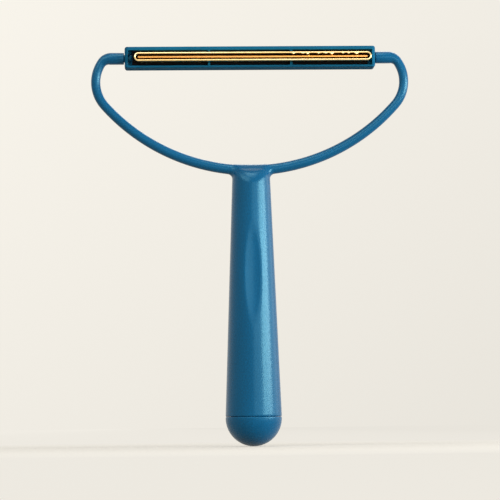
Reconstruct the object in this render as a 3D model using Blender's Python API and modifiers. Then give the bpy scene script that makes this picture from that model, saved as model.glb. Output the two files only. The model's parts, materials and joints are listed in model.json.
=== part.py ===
# Hand lint remover.
# A hollow tapered handle and a springy bow are one moulding. The bow's two pins carry a
# head bar that swivels, with a brass scraping ring on its front face and one on its rear.
# Units are metres. +Z runs up the handle to the head, the front is -Y and the origin is on
# the handle's axis between the two thumb scoops, where a hand holds the tool.

import math

import bmesh
import bpy
import numpy as np
from mathutils import Matrix, Vector

MM = 0.001

# Fits
SEAT_GAP = 0.3 * MM
CUT_PAST = 2.0 * MM

# Handle
SEAM_BELOW_GRIP = 67.0 * MM
SHOULDER_ABOVE_GRIP = 33.0 * MM
HANDLE_END_RADIUS = 11.75 * MM
HANDLE_TOP_RADIUS = 7.95 * MM
HANDLE_WALL = 2.0 * MM
VAULT_RISE = 2.6 * MM
SHOULDER_RADIUS = 1.4 * MM
BORE_ROOF = 7.0 * MM
HANDLE_STEPS = 64
GRIP_STEPS = 8
VAULT_STEPS = 16

# Thumb scoops, one in front and one behind
SCOOP_LENGTH = 38.0 * MM
SCOOP_DEPTH = 0.9 * MM
SCOOP_BELLY_RADIUS = 14.6 * MM

# Bow
CROTCH_ABOVE_SHOULDER = 3.3 * MM
PIN_ABOVE_CROTCH = 47.5 * MM
CORNER_RADIUS = 14.9 * MM
TOP_BEND_RADIUS = 5.5 * MM
BEND_CHANGE_ANGLE = math.radians(32.5)
STUB_LENGTH = 4.7 * MM
CROTCH_DIAMETER = 4.4 * MM
SIDE_DIAMETER = 3.9 * MM
STUB_DIAMETER = 5.0 * MM
BOW_STEP = 2.4 * MM
CROTCH_FILLET = 1.9 * MM

# Where the bow flows into the handle
BLEND_BELOW_SHOULDER = 4.0 * MM
BLEND_REACH = 12.5 * MM
BLEND_MARGIN = 0.05 * MM
BLEND_LONG = 1.0 * MM
BLEND_SHORT = 0.45 * MM
BLEND_ROUNDS = 5
BLEND_PASSES = 4
SETTLE_STEPS = 4
SLOPE_PROBE = 0.01 * MM
LEAST_STEEPNESS = 0.05

# Swivel pins at the bow's ends
JOURNAL_RADIUS = 1.6 * MM
PIN_HEAD_RADIUS = 2.1 * MM
PIN_HEAD_THICKNESS = 1.2 * MM
PIN_CHAMFER = 0.4 * MM
PIN_ROOT = 1.5 * MM
PIN_STEPS = 32

# Head bar
BAR_LENGTH = 105.4 * MM
LIP = 1.15 * MM
END_WALL = 1.4 * MM
BAR_CORNER_RADIUS = 1.5 * MM
BOSS_FRONT = 1.5 * MM
BORE_RELIEF = 0.1 * MM
BAR_EDGE_RADIUS = 0.35 * MM
RIB_SPACING = 34.6 * MM
RIB_WIDTH = 1.0 * MM
RIB_DEPTH = 0.8 * MM
RIB_SETBACK = 0.4 * MM

# Blade carrier
RAIL_THICKNESS = 0.6 * MM
RAIL_HEIGHT = 0.9 * MM
STRIP_SLOT_DEPTH = 1.3 * MM

# Brass
RING_HEIGHT = 4.15 * MM
RING_WALL = 0.7 * MM
RING_REACH = 4.5 * MM
RING_END_PLAY = 2.3 * MM
RING_ARC_STEPS = 12
RIM_ROUND = 0.15 * MM
STRIP_THICKNESS = 0.8 * MM
STRIP_BEHIND_RIM = 1.3 * MM
STRIP_END_GAP = 2.2 * MM

# End cap
CAP_BAND = 0.3 * MM
CAP_WALL = 1.8 * MM
SPIGOT_LENGTH = 8.0 * MM
SPIGOT_WALL = 1.4 * MM
BEAD_HEIGHT = 0.35 * MM
BEAD_LENGTH = 1.2 * MM
BEAD_BELOW_TIP = 2.0 * MM
DOME_STEPS = 14

# Heights along the handle
SEAM_Z = -SEAM_BELOW_GRIP
SHOULDER_Z = SHOULDER_ABOVE_GRIP
CROTCH_Z = SHOULDER_Z + CROTCH_ABOVE_SHOULDER
PIN_Z = CROTCH_Z + PIN_ABOVE_CROTCH

# The head's section follows from the pins and the brass
CORE_HALF_DEPTH = PIN_HEAD_RADIUS
RAIL_FRONT = CORE_HALF_DEPTH + RAIL_HEIGHT
BAR_HALF_DEPTH = RAIL_FRONT + SEAT_GAP + RIB_DEPTH + RIB_SETBACK
RING_BACK = CORE_HALF_DEPTH + SEAT_GAP
RING_FRONT = BAR_HALF_DEPTH + RING_REACH
WINDOW_HEIGHT = RING_HEIGHT + 2.0 * (SEAT_GAP + RAIL_THICKNESS + SEAT_GAP)
WINDOW_LENGTH = BAR_LENGTH - 2.0 * END_WALL
BAR_HEIGHT = WINDOW_HEIGHT + 2.0 * LIP
CORE_HEIGHT = WINDOW_HEIGHT - 2.0 * SEAT_GAP
CORE_LENGTH = WINDOW_LENGTH - 2.0 * (2.0 * SEAT_GAP + PIN_HEAD_THICKNESS)
RING_LENGTH = WINDOW_LENGTH - SEAT_GAP - RING_END_PLAY
RING_CENTRE_X = WINDOW_LENGTH / 2.0 - SEAT_GAP - RING_LENGTH / 2.0
STRIP_LENGTH = RING_LENGTH - 2.0 * STRIP_END_GAP
STRIP_BACK = CORE_HALF_DEPTH - STRIP_SLOT_DEPTH + SEAT_GAP
STRIP_FRONT = RING_FRONT - STRIP_BEHIND_RIM

# The cap's spigot follows from the handle's end
SPIGOT_RADIUS = HANDLE_END_RADIUS - HANDLE_WALL - SEAT_GAP


def clear_scene():
    for obj in list(bpy.data.objects):
        bpy.data.objects.remove(obj, do_unlink=True)


def make_collection(name):
    collection = bpy.data.collections.new(name)
    bpy.context.scene.collection.children.link(collection)
    return collection


def make_material(name, colour, roughness, metallic=0.0):
    material = bpy.data.materials.new(name)
    material.use_nodes = True
    shader = material.node_tree.nodes["Principled BSDF"]
    shader.inputs["Base Color"].default_value = (*colour, 1.0)
    shader.inputs["Roughness"].default_value = roughness
    shader.inputs["Metallic"].default_value = metallic
    material.diffuse_color = (*colour, 1.0)
    return material


def add_object(name, data, collection, material=None):
    obj = bpy.data.objects.new(name, data)
    collection.objects.link(obj)
    if material:
        data.materials.append(material)
    return obj


def add_bmesh(name, bm, collection, material=None):
    mesh = bpy.data.meshes.new(name)
    bm.to_mesh(mesh)
    bm.free()
    return add_object(name, mesh, collection, material)


def as_tool(obj):
    obj.hide_render = True
    obj.display_type = "WIRE"
    return obj


def boolean(target, tool, operation):
    modifier = target.modifiers.new(operation.title(), "BOOLEAN")
    modifier.operation = operation
    modifier.object = as_tool(tool)


def to_mesh(obj, weld=0.00001):
    """Turn an object with curves or modifiers into a plain mesh object of the same name."""
    bpy.context.view_layer.update()
    evaluated = obj.evaluated_get(bpy.context.evaluated_depsgraph_get())
    mesh = bpy.data.meshes.new_from_object(evaluated)
    bm = bmesh.new()
    bm.from_mesh(mesh)
    bmesh.ops.remove_doubles(bm, verts=bm.verts, dist=weld)
    bm.to_mesh(mesh)
    bm.free()
    name, collection, matrix = obj.name, obj.users_collection[0], obj.matrix_world.copy()
    bpy.data.objects.remove(obj, do_unlink=True)
    result = add_object(name, mesh, collection)
    result.matrix_world = matrix
    return result


def box(name, low, high, collection, material=None):
    """A box between two corners, with its origin at the collection's zero."""
    size = Vector(high) - Vector(low)
    centre = (Vector(high) + Vector(low)) / 2.0
    bm = bmesh.new()
    matrix = Matrix.Translation(centre) @ Matrix.Diagonal((*size, 1.0))
    bmesh.ops.create_cube(bm, size=1.0, matrix=matrix)
    return add_bmesh(name, bm, collection, material)


def extruded(name, outline, way, collection):
    """A prism from a flat outline and the way it is pushed."""
    bm = bmesh.new()
    face = bm.faces.new([bm.verts.new(point) for point in outline])
    grown = bmesh.ops.extrude_face_region(bm, geom=[face])
    moved = [item for item in grown["geom"] if isinstance(item, bmesh.types.BMVert)]
    bmesh.ops.translate(bm, verts=moved, vec=way)
    bmesh.ops.recalc_face_normals(bm, faces=bm.faces)
    return add_bmesh(name, bm, collection)


def turned(name, profile, steps, collection, material=None):
    """A solid of revolution about Z. The profile's (radius, height) points start and end on
    the axis and run down the outer side."""
    mesh = bpy.data.meshes.new(name)
    edges = [(i, i + 1) for i in range(len(profile) - 1)]
    mesh.from_pydata([(radius, 0.0, height) for radius, height in profile], edges, [])
    obj = add_object(name, mesh, collection, material)
    screw = obj.modifiers.new("Screw", "SCREW")
    screw.axis = "Z"
    screw.steps = steps
    screw.render_steps = steps
    screw.use_merge_vertices = True
    screw.merge_threshold = 0.00001
    screw.use_smooth_shade = True
    return obj


def arc(centre, radius, start, end, count):
    """Points (x, z) on an arc, both ends included. Angles run from +X towards +Z."""
    points = []
    for i in range(count + 1):
        angle = start + (end - start) * i / count
        points.append((centre[0] + radius * math.cos(angle), centre[1] + radius * math.sin(angle)))
    return points


def arc_count(radius, start, end):
    return max(4, round(abs(end - start) * radius / BOW_STEP))


def bow_arcs():
    """Centres (x, z) and radii of the right half's three arcs, which run tangent into each
    other: the wide crotch arc, the corner and the tighter top bend, which ends level with
    the pins. The crotch arc's radius follows from the rest."""
    stub_end = BAR_LENGTH / 2.0 + SEAT_GAP
    top_centre = Vector((stub_end + STUB_LENGTH, PIN_Z - TOP_BEND_RADIUS))
    offset = CORNER_RADIUS - TOP_BEND_RADIUS
    towards = Vector((math.cos(BEND_CHANGE_ANGLE), math.sin(BEND_CHANGE_ANGLE)))
    corner_centre = top_centre - offset * towards
    rise = corner_centre.y - CROTCH_Z
    reach = corner_centre.x
    crotch_radius = (reach**2 + rise**2 - CORNER_RADIUS**2) / (2.0 * (rise - CORNER_RADIUS))
    crotch_centre = Vector((0.0, CROTCH_Z + crotch_radius))
    return crotch_centre, crotch_radius, corner_centre, top_centre


def crotch_arc_end(crotch_centre, corner_centre):
    """The angle at which the crotch arc hands over to the corner."""
    handover = corner_centre - crotch_centre
    return math.atan2(handover.y, handover.x)


def bow_half_path():
    """The bow's centreline from the crotch to the right stub's end, as (x, z, diameter)."""
    crotch_centre, crotch_radius, corner_centre, top_centre = bow_arcs()
    handover_angle = crotch_arc_end(crotch_centre, corner_centre)
    bottom = -math.pi / 2.0
    count = arc_count(crotch_radius, bottom, handover_angle)
    crotch = arc(crotch_centre, crotch_radius, bottom, handover_angle, count)
    count = 2 * arc_count(CORNER_RADIUS, handover_angle, BEND_CHANGE_ANGLE)
    corner = arc(corner_centre, CORNER_RADIUS, handover_angle, BEND_CHANGE_ANGLE, count)
    count = 2 * arc_count(TOP_BEND_RADIUS, BEND_CHANGE_ANGLE, math.pi / 2.0)
    top = arc(top_centre, TOP_BEND_RADIUS, BEND_CHANGE_ANGLE, math.pi / 2.0, count)
    path = []
    for i, (x, z) in enumerate(crotch[:-1]):
        share = i / (len(crotch) - 1)
        path.append((x, z, CROTCH_DIAMETER + (SIDE_DIAMETER - CROTCH_DIAMETER) * share))
    path += [(x, z, SIDE_DIAMETER) for x, z in corner[:-1]]
    for i, (x, z) in enumerate(top):
        share = i / (len(top) - 1)
        path.append((x, z, SIDE_DIAMETER + (STUB_DIAMETER - SIDE_DIAMETER) * share))
    path.append((BAR_LENGTH / 2.0 + SEAT_GAP, PIN_Z, STUB_DIAMETER))
    return path


def make_bow(collection):
    """The bow as one round rod of varying thickness along its centreline."""
    right = bow_half_path()
    left = [(-x, z, diameter) for x, z, diameter in reversed(right[1:])]
    points = left + right
    curve = bpy.data.curves.new("bow", "CURVE")
    curve.dimensions = "3D"
    curve.twist_mode = "MINIMUM"
    curve.bevel_depth = STUB_DIAMETER / 2.0
    curve.bevel_resolution = 3
    curve.use_fill_caps = True
    spline = curve.splines.new("POLY")
    spline.points.add(len(points) - 1)
    for point, (x, z, diameter) in zip(spline.points, points):
        point.co = (x, 0.0, z, 1.0)
        point.radius = diameter / STUB_DIAMETER
    return to_mesh(add_object("bow", curve, collection))


def make_pin(side, collection):
    """A journal with a snap head. It is turned about X and rooted in the bow's stub."""
    wall_inside = WINDOW_LENGTH / 2.0 - SEAT_GAP
    tip = wall_inside - PIN_HEAD_THICKNESS
    root = BAR_LENGTH / 2.0 + SEAT_GAP + PIN_ROOT
    profile = [
        (0.0, tip),
        (PIN_HEAD_RADIUS - PIN_CHAMFER, tip),
        (PIN_HEAD_RADIUS, tip + PIN_CHAMFER),
        (PIN_HEAD_RADIUS, wall_inside),
        (JOURNAL_RADIUS, wall_inside),
        (JOURNAL_RADIUS, root),
        (0.0, root),
    ]
    name = "pin_right" if side > 0 else "pin_left"
    pin = turned(name, [(radius, -along) for radius, along in profile], PIN_STEPS, collection)
    pin.location = (0.0, 0.0, PIN_Z)
    pin.rotation_euler = (0.0, -side * math.pi / 2.0, 0.0)
    return to_mesh(pin)


def handle_radius(z):
    share = (SHOULDER_Z - z) / (SHOULDER_Z - SEAM_Z)
    return HANDLE_TOP_RADIUS + (HANDLE_END_RADIUS - HANDLE_TOP_RADIUS) * share


def vault_height(y):
    """Height of the handle's roof, which arches from front to back like a vault."""
    return SHOULDER_Z + VAULT_RISE * (1.0 - (y / HANDLE_TOP_RADIUS) ** 2)


def handle_profile():
    """The hollow handle from above its roof down the outside and up the bore."""
    top_z = SHOULDER_Z + VAULT_RISE + CUT_PAST
    grip_top_z = SHOULDER_Z - BLEND_BELOW_SHOULDER
    outside = [(0.0, top_z), (handle_radius(top_z), top_z)]
    for i in range(GRIP_STEPS + 1):
        z = grip_top_z + (SEAM_Z - grip_top_z) * i / GRIP_STEPS
        outside.append((handle_radius(z), z))
    socket_radius = SPIGOT_RADIUS + SEAT_GAP
    socket_top = SEAM_Z + SPIGOT_LENGTH + SEAT_GAP
    bead_low = SEAM_Z - SEAT_GAP + SPIGOT_LENGTH - BEAD_BELOW_TIP - BEAD_LENGTH
    groove_low = bead_low - SEAT_GAP
    groove_high = bead_low + BEAD_LENGTH + SEAT_GAP
    groove_radius = socket_radius + BEAD_HEIGHT
    bore_top = SHOULDER_Z - BORE_ROOF
    inside = [
        (socket_radius, SEAM_Z),
        (socket_radius, groove_low),
        (groove_radius, groove_low + BEAD_HEIGHT),
        (groove_radius, groove_high - BEAD_HEIGHT),
        (socket_radius, groove_high),
        (socket_radius, socket_top),
        (handle_radius(socket_top) - HANDLE_WALL - 2.0 * SEAT_GAP, socket_top + SEAT_GAP),
        (handle_radius(bore_top) - HANDLE_WALL - 2.0 * SEAT_GAP, bore_top),
        (0.0, bore_top),
    ]
    return outside + inside


def make_scoop(side, collection):
    """A barrel that leaves a shallow leaf where it dips into the handle."""
    half_length = SCOOP_LENGTH / 2.0
    dip = SCOOP_BELLY_RADIUS - SCOOP_DEPTH
    half_height = half_length / math.sqrt(1.0 - (dip / SCOOP_BELLY_RADIUS) ** 2)
    bm = bmesh.new()
    scale = Matrix.Diagonal((SCOOP_BELLY_RADIUS, SCOOP_BELLY_RADIUS, half_height, 1.0))
    bmesh.ops.create_uvsphere(bm, u_segments=96, v_segments=48, radius=1.0, matrix=scale)
    name = "scoop_front" if side < 0 else "scoop_rear"
    scoop = add_bmesh(name, bm, collection)
    scoop.location = (0.0, side * (handle_radius(0.0) + dip), 0.0)
    return scoop


def round_union(first, second, radius):
    """Two distance fields joined with a fillet where their surfaces meet."""
    u = np.maximum(radius - first, 0.0)
    v = np.maximum(radius - second, 0.0)
    return np.maximum(radius, np.minimum(first, second)) - np.hypot(u, v)


def round_intersection(first, second, radius):
    """What is inside both distance fields, with a rounded edge."""
    u = np.maximum(radius + first, 0.0)
    v = np.maximum(radius + second, 0.0)
    return np.minimum(-radius, np.maximum(first, second)) + np.hypot(u, v)


def crotch_distance(points):
    """Distance from points to the blended surface of the handle's top and the bow."""
    crotch_centre, crotch_radius, corner_centre, _ = bow_arcs()
    x, y, z = points.T
    side = np.hypot(x, y) - handle_radius(z)
    handle = round_intersection(side, z - vault_height(y), SHOULDER_RADIUS)
    rise = z - crotch_centre.y
    swing = np.arctan2(np.abs(x), -rise)
    share = swing / (crotch_arc_end(crotch_centre, corner_centre) + math.pi / 2.0)
    thickness = CROTCH_DIAMETER + (SIDE_DIAMETER - CROTCH_DIAMETER) * share
    bow = np.hypot(np.hypot(x, rise) - crotch_radius, y) - thickness / 2.0
    return round_union(handle, bow, CROTCH_FILLET)


def settle_on_crotch(points):
    """Points moved along the field's slope onto the blended surface."""
    for _ in range(SETTLE_STEPS):
        value = crotch_distance(points)
        slope = np.empty_like(points)
        for axis in range(3):
            step = np.zeros(3)
            step[axis] = SLOPE_PROBE
            ahead = crotch_distance(points + step)
            slope[:, axis] = (ahead - crotch_distance(points - step)) / (2.0 * SLOPE_PROBE)
        steepness = np.maximum((slope**2).sum(axis=1), LEAST_STEEPNESS)
        points = points - (value / steepness)[:, None] * slope
    return points


def is_near_crotch(vert):
    low = SHOULDER_Z - BLEND_BELOW_SHOULDER - BLEND_MARGIN
    return vert.co.z > low and abs(vert.co.x) < BLEND_REACH


def free_vertices(bm):
    """The vertices near the crotch that may move: all their neighbours are near it too."""
    free = []
    for vert in bm.verts:
        beside = [edge.other_vert(vert) for edge in vert.link_edges]
        if is_near_crotch(vert) and all(is_near_crotch(other) for other in beside):
            free.append(vert)
    return free


def split_long_edges(bm):
    near = [edge for edge in bm.edges if all(is_near_crotch(vert) for vert in edge.verts)]
    long = [edge for edge in near if edge.calc_length() > BLEND_LONG]
    bmesh.ops.subdivide_edges(bm, edges=long, cuts=1)
    bmesh.ops.triangulate(bm, faces=[face for face in bm.faces if len(face.verts) > 3])


def merge_short_edges(bm):
    """Close the edges that are too short, where that leaves the surface whole."""
    free = set(free_vertices(bm))
    for edge in list(bm.edges):
        if not edge.is_valid or edge.calc_length() > BLEND_SHORT:
            continue
        first, second = edge.verts
        if first not in free or second not in free:
            continue
        beside_first = {link.other_vert(first) for link in first.link_edges}
        beside_second = {link.other_vert(second) for link in second.link_edges}
        if len(beside_first & beside_second) == 2:
            middle = (first.co + second.co) / 2.0
            bmesh.ops.pointmerge(bm, verts=[first, second], merge_co=middle)


def turn_edges(bm):
    """Turn edges between two triangles where that makes the triangles rounder."""
    free = set(free_vertices(bm))
    faces = [face for face in bm.faces if all(vert in free for vert in face.verts)]
    edges = [edge for edge in bm.edges if all(vert in free for vert in edge.verts)]
    bmesh.ops.beautify_fill(bm, faces=faces, edges=edges, method="ANGLE")


def blend_crotch(obj):
    """Even out the mesh where the bow meets the handle and draw it onto the blended surface."""
    bm = bmesh.new()
    bm.from_mesh(obj.data)
    bmesh.ops.triangulate(bm, faces=[face for face in bm.faces if len(face.verts) > 3])
    for _ in range(BLEND_ROUNDS):
        split_long_edges(bm)
        merge_short_edges(bm)
        turn_edges(bm)
        free = free_vertices(bm)
        for _ in range(BLEND_PASSES):
            means = []
            for vert in free:
                around = [edge.other_vert(vert).co for edge in vert.link_edges]
                mean = sum(around, Vector()) / len(around)
                means.append((vert.co + mean) / 2.0)
            settled = settle_on_crotch(np.array(means, dtype=float))
            for vert, place in zip(free, settled):
                vert.co = place
    bm.to_mesh(obj.data)
    bm.free()


def make_vault(collection):
    """Everything above the handle's vaulted roof."""
    half_width = HANDLE_TOP_RADIUS + CUT_PAST
    outline = []
    for i in range(VAULT_STEPS + 1):
        y = half_width * (2.0 * i / VAULT_STEPS - 1.0)
        outline.append((y, vault_height(y)))
    top_z = SHOULDER_Z + VAULT_RISE + 2.0 * CUT_PAST
    outline += [(half_width, top_z), (-half_width, top_z)]
    near_end = [(-half_width, y, z) for y, z in outline]
    return extruded("vault", near_end, (2.0 * half_width, 0.0, 0.0), collection)


def make_handle_yoke(parts, tools, material):
    yoke = turned("handle_yoke", handle_profile(), HANDLE_STEPS, parts, material)
    boolean(yoke, make_vault(tools), "DIFFERENCE")
    boolean(yoke, make_bow(tools), "UNION")
    for side in (-1, 1):
        boolean(yoke, make_pin(side, tools), "UNION")
    for side in (-1, 1):
        boolean(yoke, make_scoop(side, tools), "DIFFERENCE")
    yoke = to_mesh(yoke)
    blend_crotch(yoke)
    return yoke


def make_end_cap(parts, material):
    """A dome with a hollow spigot, whose bead snaps into the handle's groove."""
    face_z = SEAM_Z - SEAT_GAP
    tip_z = face_z + SPIGOT_LENGTH
    bead_high = tip_z - BEAD_BELOW_TIP
    bead_low = bead_high - BEAD_LENGTH
    bead_radius = SPIGOT_RADIUS + BEAD_HEIGHT
    hollow_radius = SPIGOT_RADIUS - SPIGOT_WALL
    band_z = face_z - CAP_BAND
    dome = arc((0.0, band_z), HANDLE_END_RADIUS, 0.0, -math.pi / 2.0, DOME_STEPS)
    hollow_steps = DOME_STEPS // 2
    hollow = arc((0.0, band_z), HANDLE_END_RADIUS - CAP_WALL, -math.pi / 2.0, 0.0, hollow_steps)
    inside = [(r, z) for r, z in hollow if r < hollow_radius]
    inside.append((hollow_radius, inside[-1][1]))
    inside[0] = (0.0, inside[0][1])
    profile = inside + [
        (hollow_radius, tip_z),
        (SPIGOT_RADIUS, tip_z),
        (SPIGOT_RADIUS, bead_high),
        (bead_radius, bead_high - BEAD_HEIGHT),
        (bead_radius, bead_low + BEAD_HEIGHT),
        (SPIGOT_RADIUS, bead_low),
        (SPIGOT_RADIUS, face_z),
        (HANDLE_END_RADIUS, face_z),
    ]
    profile += dome[:-1]
    profile.append((0.0, dome[-1][1]))
    return turned("end_cap", profile, HANDLE_STEPS, parts, material)


def make_head_shell(name, side, parts, tools, material, pivot):
    """Half of the head bar, with the window, the half bores for the pins and the ribs."""
    half_length = BAR_LENGTH / 2.0
    half_height = BAR_HEIGHT / 2.0
    near = side * SEAT_GAP / 2.0
    far = side * BAR_HALF_DEPTH
    low_y, high_y = sorted((near, far))
    shell = box(name, (-half_length, low_y, -half_height), (half_length, high_y, half_height),
                parts, material)
    round_bar_edges(shell.data, far)
    shell.parent = pivot
    boolean(shell, make_window(name, side, tools, pivot), "DIFFERENCE")
    for end in (-1, 1):
        boolean(shell, make_pin_bore(name, end, tools, pivot), "DIFFERENCE")
    rib_near = side * (RAIL_FRONT + SEAT_GAP)
    rib_far = side * (BAR_HALF_DEPTH - RIB_SETBACK)
    low_y, high_y = sorted((rib_near, rib_far))
    foot = half_height - LIP / 2.0
    tip = RING_HEIGHT / 2.0 + SEAT_GAP
    for x in (-RIB_SPACING / 2.0, RIB_SPACING / 2.0):
        for low_z, high_z in ((tip, foot), (-foot, -tip)):
            rib = box(name + "_rib", (x - RIB_WIDTH / 2.0, low_y, low_z),
                      (x + RIB_WIDTH / 2.0, high_y, high_z), tools)
            rib.parent = pivot
            boolean(shell, rib, "UNION")
    return shell


def make_window(name, side, collection, pivot):
    """What the window takes away. It is shorter behind, so that a block stays at each end, in
    which half of a pin's snap head turns."""
    full = WINDOW_LENGTH / 2.0
    short = CORE_LENGTH / 2.0 + SEAT_GAP
    past = BAR_HALF_DEPTH + CUT_PAST
    outline = [(short, -past), (short, BOSS_FRONT), (full, BOSS_FRONT), (full, past)]
    outline += [(-x, y) for x, y in reversed(outline)]
    bottom = [(x, side * y, -WINDOW_HEIGHT / 2.0) for x, y in outline]
    window = extruded(name + "_window", bottom, (0.0, 0.0, WINDOW_HEIGHT), collection)
    window.parent = pivot
    return window


def make_pin_bore(name, end, collection, pivot):
    """The stepped bore for a pin: narrow through the end wall, wide round the snap head."""
    journal = JOURNAL_RADIUS + SEAT_GAP
    head = PIN_HEAD_RADIUS + SEAT_GAP
    wall = WINDOW_LENGTH / 2.0 + BORE_RELIEF
    outside = BAR_LENGTH / 2.0 + CUT_PAST
    inside = CORE_LENGTH / 2.0 + SEAT_GAP - CUT_PAST
    bore = turned(name + "_bore", [(0.0, outside), (journal, outside), (journal, wall),
                                   (head, wall), (head, inside), (0.0, inside)],
                  PIN_STEPS, collection)
    bore.parent = pivot
    bore.rotation_euler = (0.0, end * math.pi / 2.0, 0.0)
    return bore


def round_bar_edges(mesh, outer_y):
    """Round the four edges round the outer face's outline, the upright ones more."""
    bm = bmesh.new()
    bm.from_mesh(mesh)
    upright = [e for e in bm.edges if on_plane(e, outer_y) and is_along(e, 2)]
    bmesh.ops.bevel(bm, geom=upright, offset=BAR_CORNER_RADIUS, segments=4, profile=0.5,
                    affect="EDGES")
    outline = [e for e in bm.edges if on_plane(e, outer_y) and not is_along(e, 2)]
    outline = [e for e in outline if len({face.normal.z > 0.5 for face in e.link_faces}) > 1
               or len({face.normal.z < -0.5 for face in e.link_faces}) > 1]
    bmesh.ops.bevel(bm, geom=outline, offset=BAR_EDGE_RADIUS, segments=2, profile=0.5,
                    affect="EDGES")
    bm.to_mesh(mesh)
    bm.free()


def on_plane(edge, y):
    return all(abs(vert.co.y - y) < 0.01 * MM for vert in edge.verts)


def is_along(edge, axis):
    direction = edge.verts[1].co - edge.verts[0].co
    return abs(direction[axis]) > 0.99 * direction.length


def make_blade_carrier(parts, tools, material, pivot):
    """The insert that the shells' ribs trap. Each face has a tray between two rails for the
    ring, and a slot in the tray's floor for the strip."""
    half_length = CORE_LENGTH / 2.0
    carrier = box("blade_carrier", (-half_length, -RAIL_FRONT, -CORE_HEIGHT / 2.0),
                  (half_length, RAIL_FRONT, CORE_HEIGHT / 2.0), parts, material)
    carrier.parent = pivot
    tray_half = RING_HEIGHT / 2.0 + SEAT_GAP
    slot_half = STRIP_THICKNESS / 2.0 + SEAT_GAP
    slot_reach = STRIP_LENGTH / 2.0 + SEAT_GAP
    past = RAIL_FRONT + CUT_PAST
    for side in (-1, 1):
        low_y, high_y = sorted((side * CORE_HALF_DEPTH, side * past))
        tray = box("tray", (-half_length - CUT_PAST, low_y, -tray_half),
                   (half_length + CUT_PAST, high_y, tray_half), tools)
        tray.parent = pivot
        boolean(carrier, tray, "DIFFERENCE")
        low_y, high_y = sorted((side * (STRIP_BACK - SEAT_GAP), side * past))
        slot = box("slot", (RING_CENTRE_X - slot_reach, low_y, -slot_half),
                   (RING_CENTRE_X + slot_reach, high_y, slot_half), tools)
        slot.parent = pivot
        boolean(carrier, slot, "DIFFERENCE")
    return carrier


def stadium_outline(length, height):
    """A closed outline with round ends, as (x, z) points."""
    radius = height / 2.0
    reach = length / 2.0 - radius
    quarter = math.pi / 2.0
    right = arc((reach, 0.0), radius, -quarter, quarter, RING_ARC_STEPS)
    left = arc((-reach, 0.0), radius, quarter, 3.0 * quarter, RING_ARC_STEPS)
    return right + left


def make_blade_ring(name, side, parts, material, pivot):
    """A brass band bent into a long loop. Its front edge scrapes the cloth."""
    depth = RING_FRONT - RING_BACK
    curve = bpy.data.curves.new(name, "CURVE")
    curve.dimensions = "2D"
    curve.fill_mode = "BOTH"
    curve.extrude = depth / 2.0
    inner = (RING_LENGTH - 2.0 * RING_WALL, RING_HEIGHT - 2.0 * RING_WALL)
    for length, height in ((RING_LENGTH, RING_HEIGHT), inner):
        points = stadium_outline(length, height)
        spline = curve.splines.new("POLY")
        spline.points.add(len(points) - 1)
        for point, (x, z) in zip(spline.points, points):
            point.co = (x, z, 0.0, 1.0)
        spline.use_cyclic_u = True
    ring = to_mesh(add_object(name, curve, parts))
    ring.data.materials.append(material)
    ring.parent = pivot
    ring.location = (RING_CENTRE_X, side * (RING_BACK + depth / 2.0), 0.0)
    ring.rotation_euler = (math.pi / 2.0, 0.0, 0.0)
    return ring


def make_middle_blade(name, side, parts, material, pivot):
    """The strip inside a ring, a little behind its rim."""
    low_y, high_y = sorted((side * STRIP_BACK, side * STRIP_FRONT))
    half_length = STRIP_LENGTH / 2.0
    half_thickness = STRIP_THICKNESS / 2.0
    strip = box(name, (-half_length, low_y, -half_thickness),
                (half_length, high_y, half_thickness), parts, material)
    strip.parent = pivot
    strip.location = (RING_CENTRE_X, 0.0, 0.0)
    rounding = strip.modifiers.new("Bevel", "BEVEL")
    rounding.width = RIM_ROUND
    rounding.segments = 2
    return strip


def main():
    clear_scene()
    parts = make_collection("lint_remover")
    tools = make_collection("construction")
    blue = make_material("blue_plastic", (0.035, 0.145, 0.235), 0.32)
    head_blue = make_material("head_plastic", (0.035, 0.145, 0.215), 0.32)
    black = make_material("black_plastic", (0.006, 0.006, 0.007), 0.55)
    brass = make_material("brass", (0.83, 0.55, 0.22), 0.28, 1.0)
    pivot = bpy.data.objects.new("head_pivot", None)
    pivot.location = (0.0, 0.0, PIN_Z)
    parts.objects.link(pivot)
    make_handle_yoke(parts, tools, blue)
    make_end_cap(parts, blue)
    make_blade_carrier(parts, tools, black, pivot)
    for place, side in (("front", -1), ("rear", 1)):
        make_head_shell("head_shell_" + place, side, parts, tools, head_blue, pivot)
        make_blade_ring("blade_ring_" + place, side, parts, brass, pivot)
        make_middle_blade("middle_blade_" + place, side, parts, brass, pivot)
    bpy.context.view_layer.update()


main()
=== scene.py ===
"""Looks of a hand lint remover: blue moulded handle and bow, swivelling head bar, brass loops.

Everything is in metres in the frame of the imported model: +Z up the handle, the front is -Y and
the origin is on the handle's axis between the two thumb scoops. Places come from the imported
nodes and the head's joint, and the sizes below give the rest of the shapes.
"""

import json
import math
from itertools import product

import bmesh
import bpy
import numpy as np
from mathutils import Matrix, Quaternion, Vector


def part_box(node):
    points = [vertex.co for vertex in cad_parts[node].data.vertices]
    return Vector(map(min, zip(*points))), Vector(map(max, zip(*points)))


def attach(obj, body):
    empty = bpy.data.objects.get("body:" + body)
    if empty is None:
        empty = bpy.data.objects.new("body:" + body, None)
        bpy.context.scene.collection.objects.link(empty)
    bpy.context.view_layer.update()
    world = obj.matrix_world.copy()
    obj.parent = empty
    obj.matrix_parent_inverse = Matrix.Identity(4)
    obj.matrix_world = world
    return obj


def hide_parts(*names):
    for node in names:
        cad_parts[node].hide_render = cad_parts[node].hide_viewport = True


MM = 0.001
QUARTER = math.pi / 2.0
FULL_TURN = 2.0 * math.pi
X_AXIS = Vector((1.0, 0.0, 0.0))
Y_AXIS = Vector((0.0, 1.0, 0.0))
Z_AXIS = Vector((0.0, 0.0, 1.0))

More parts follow.
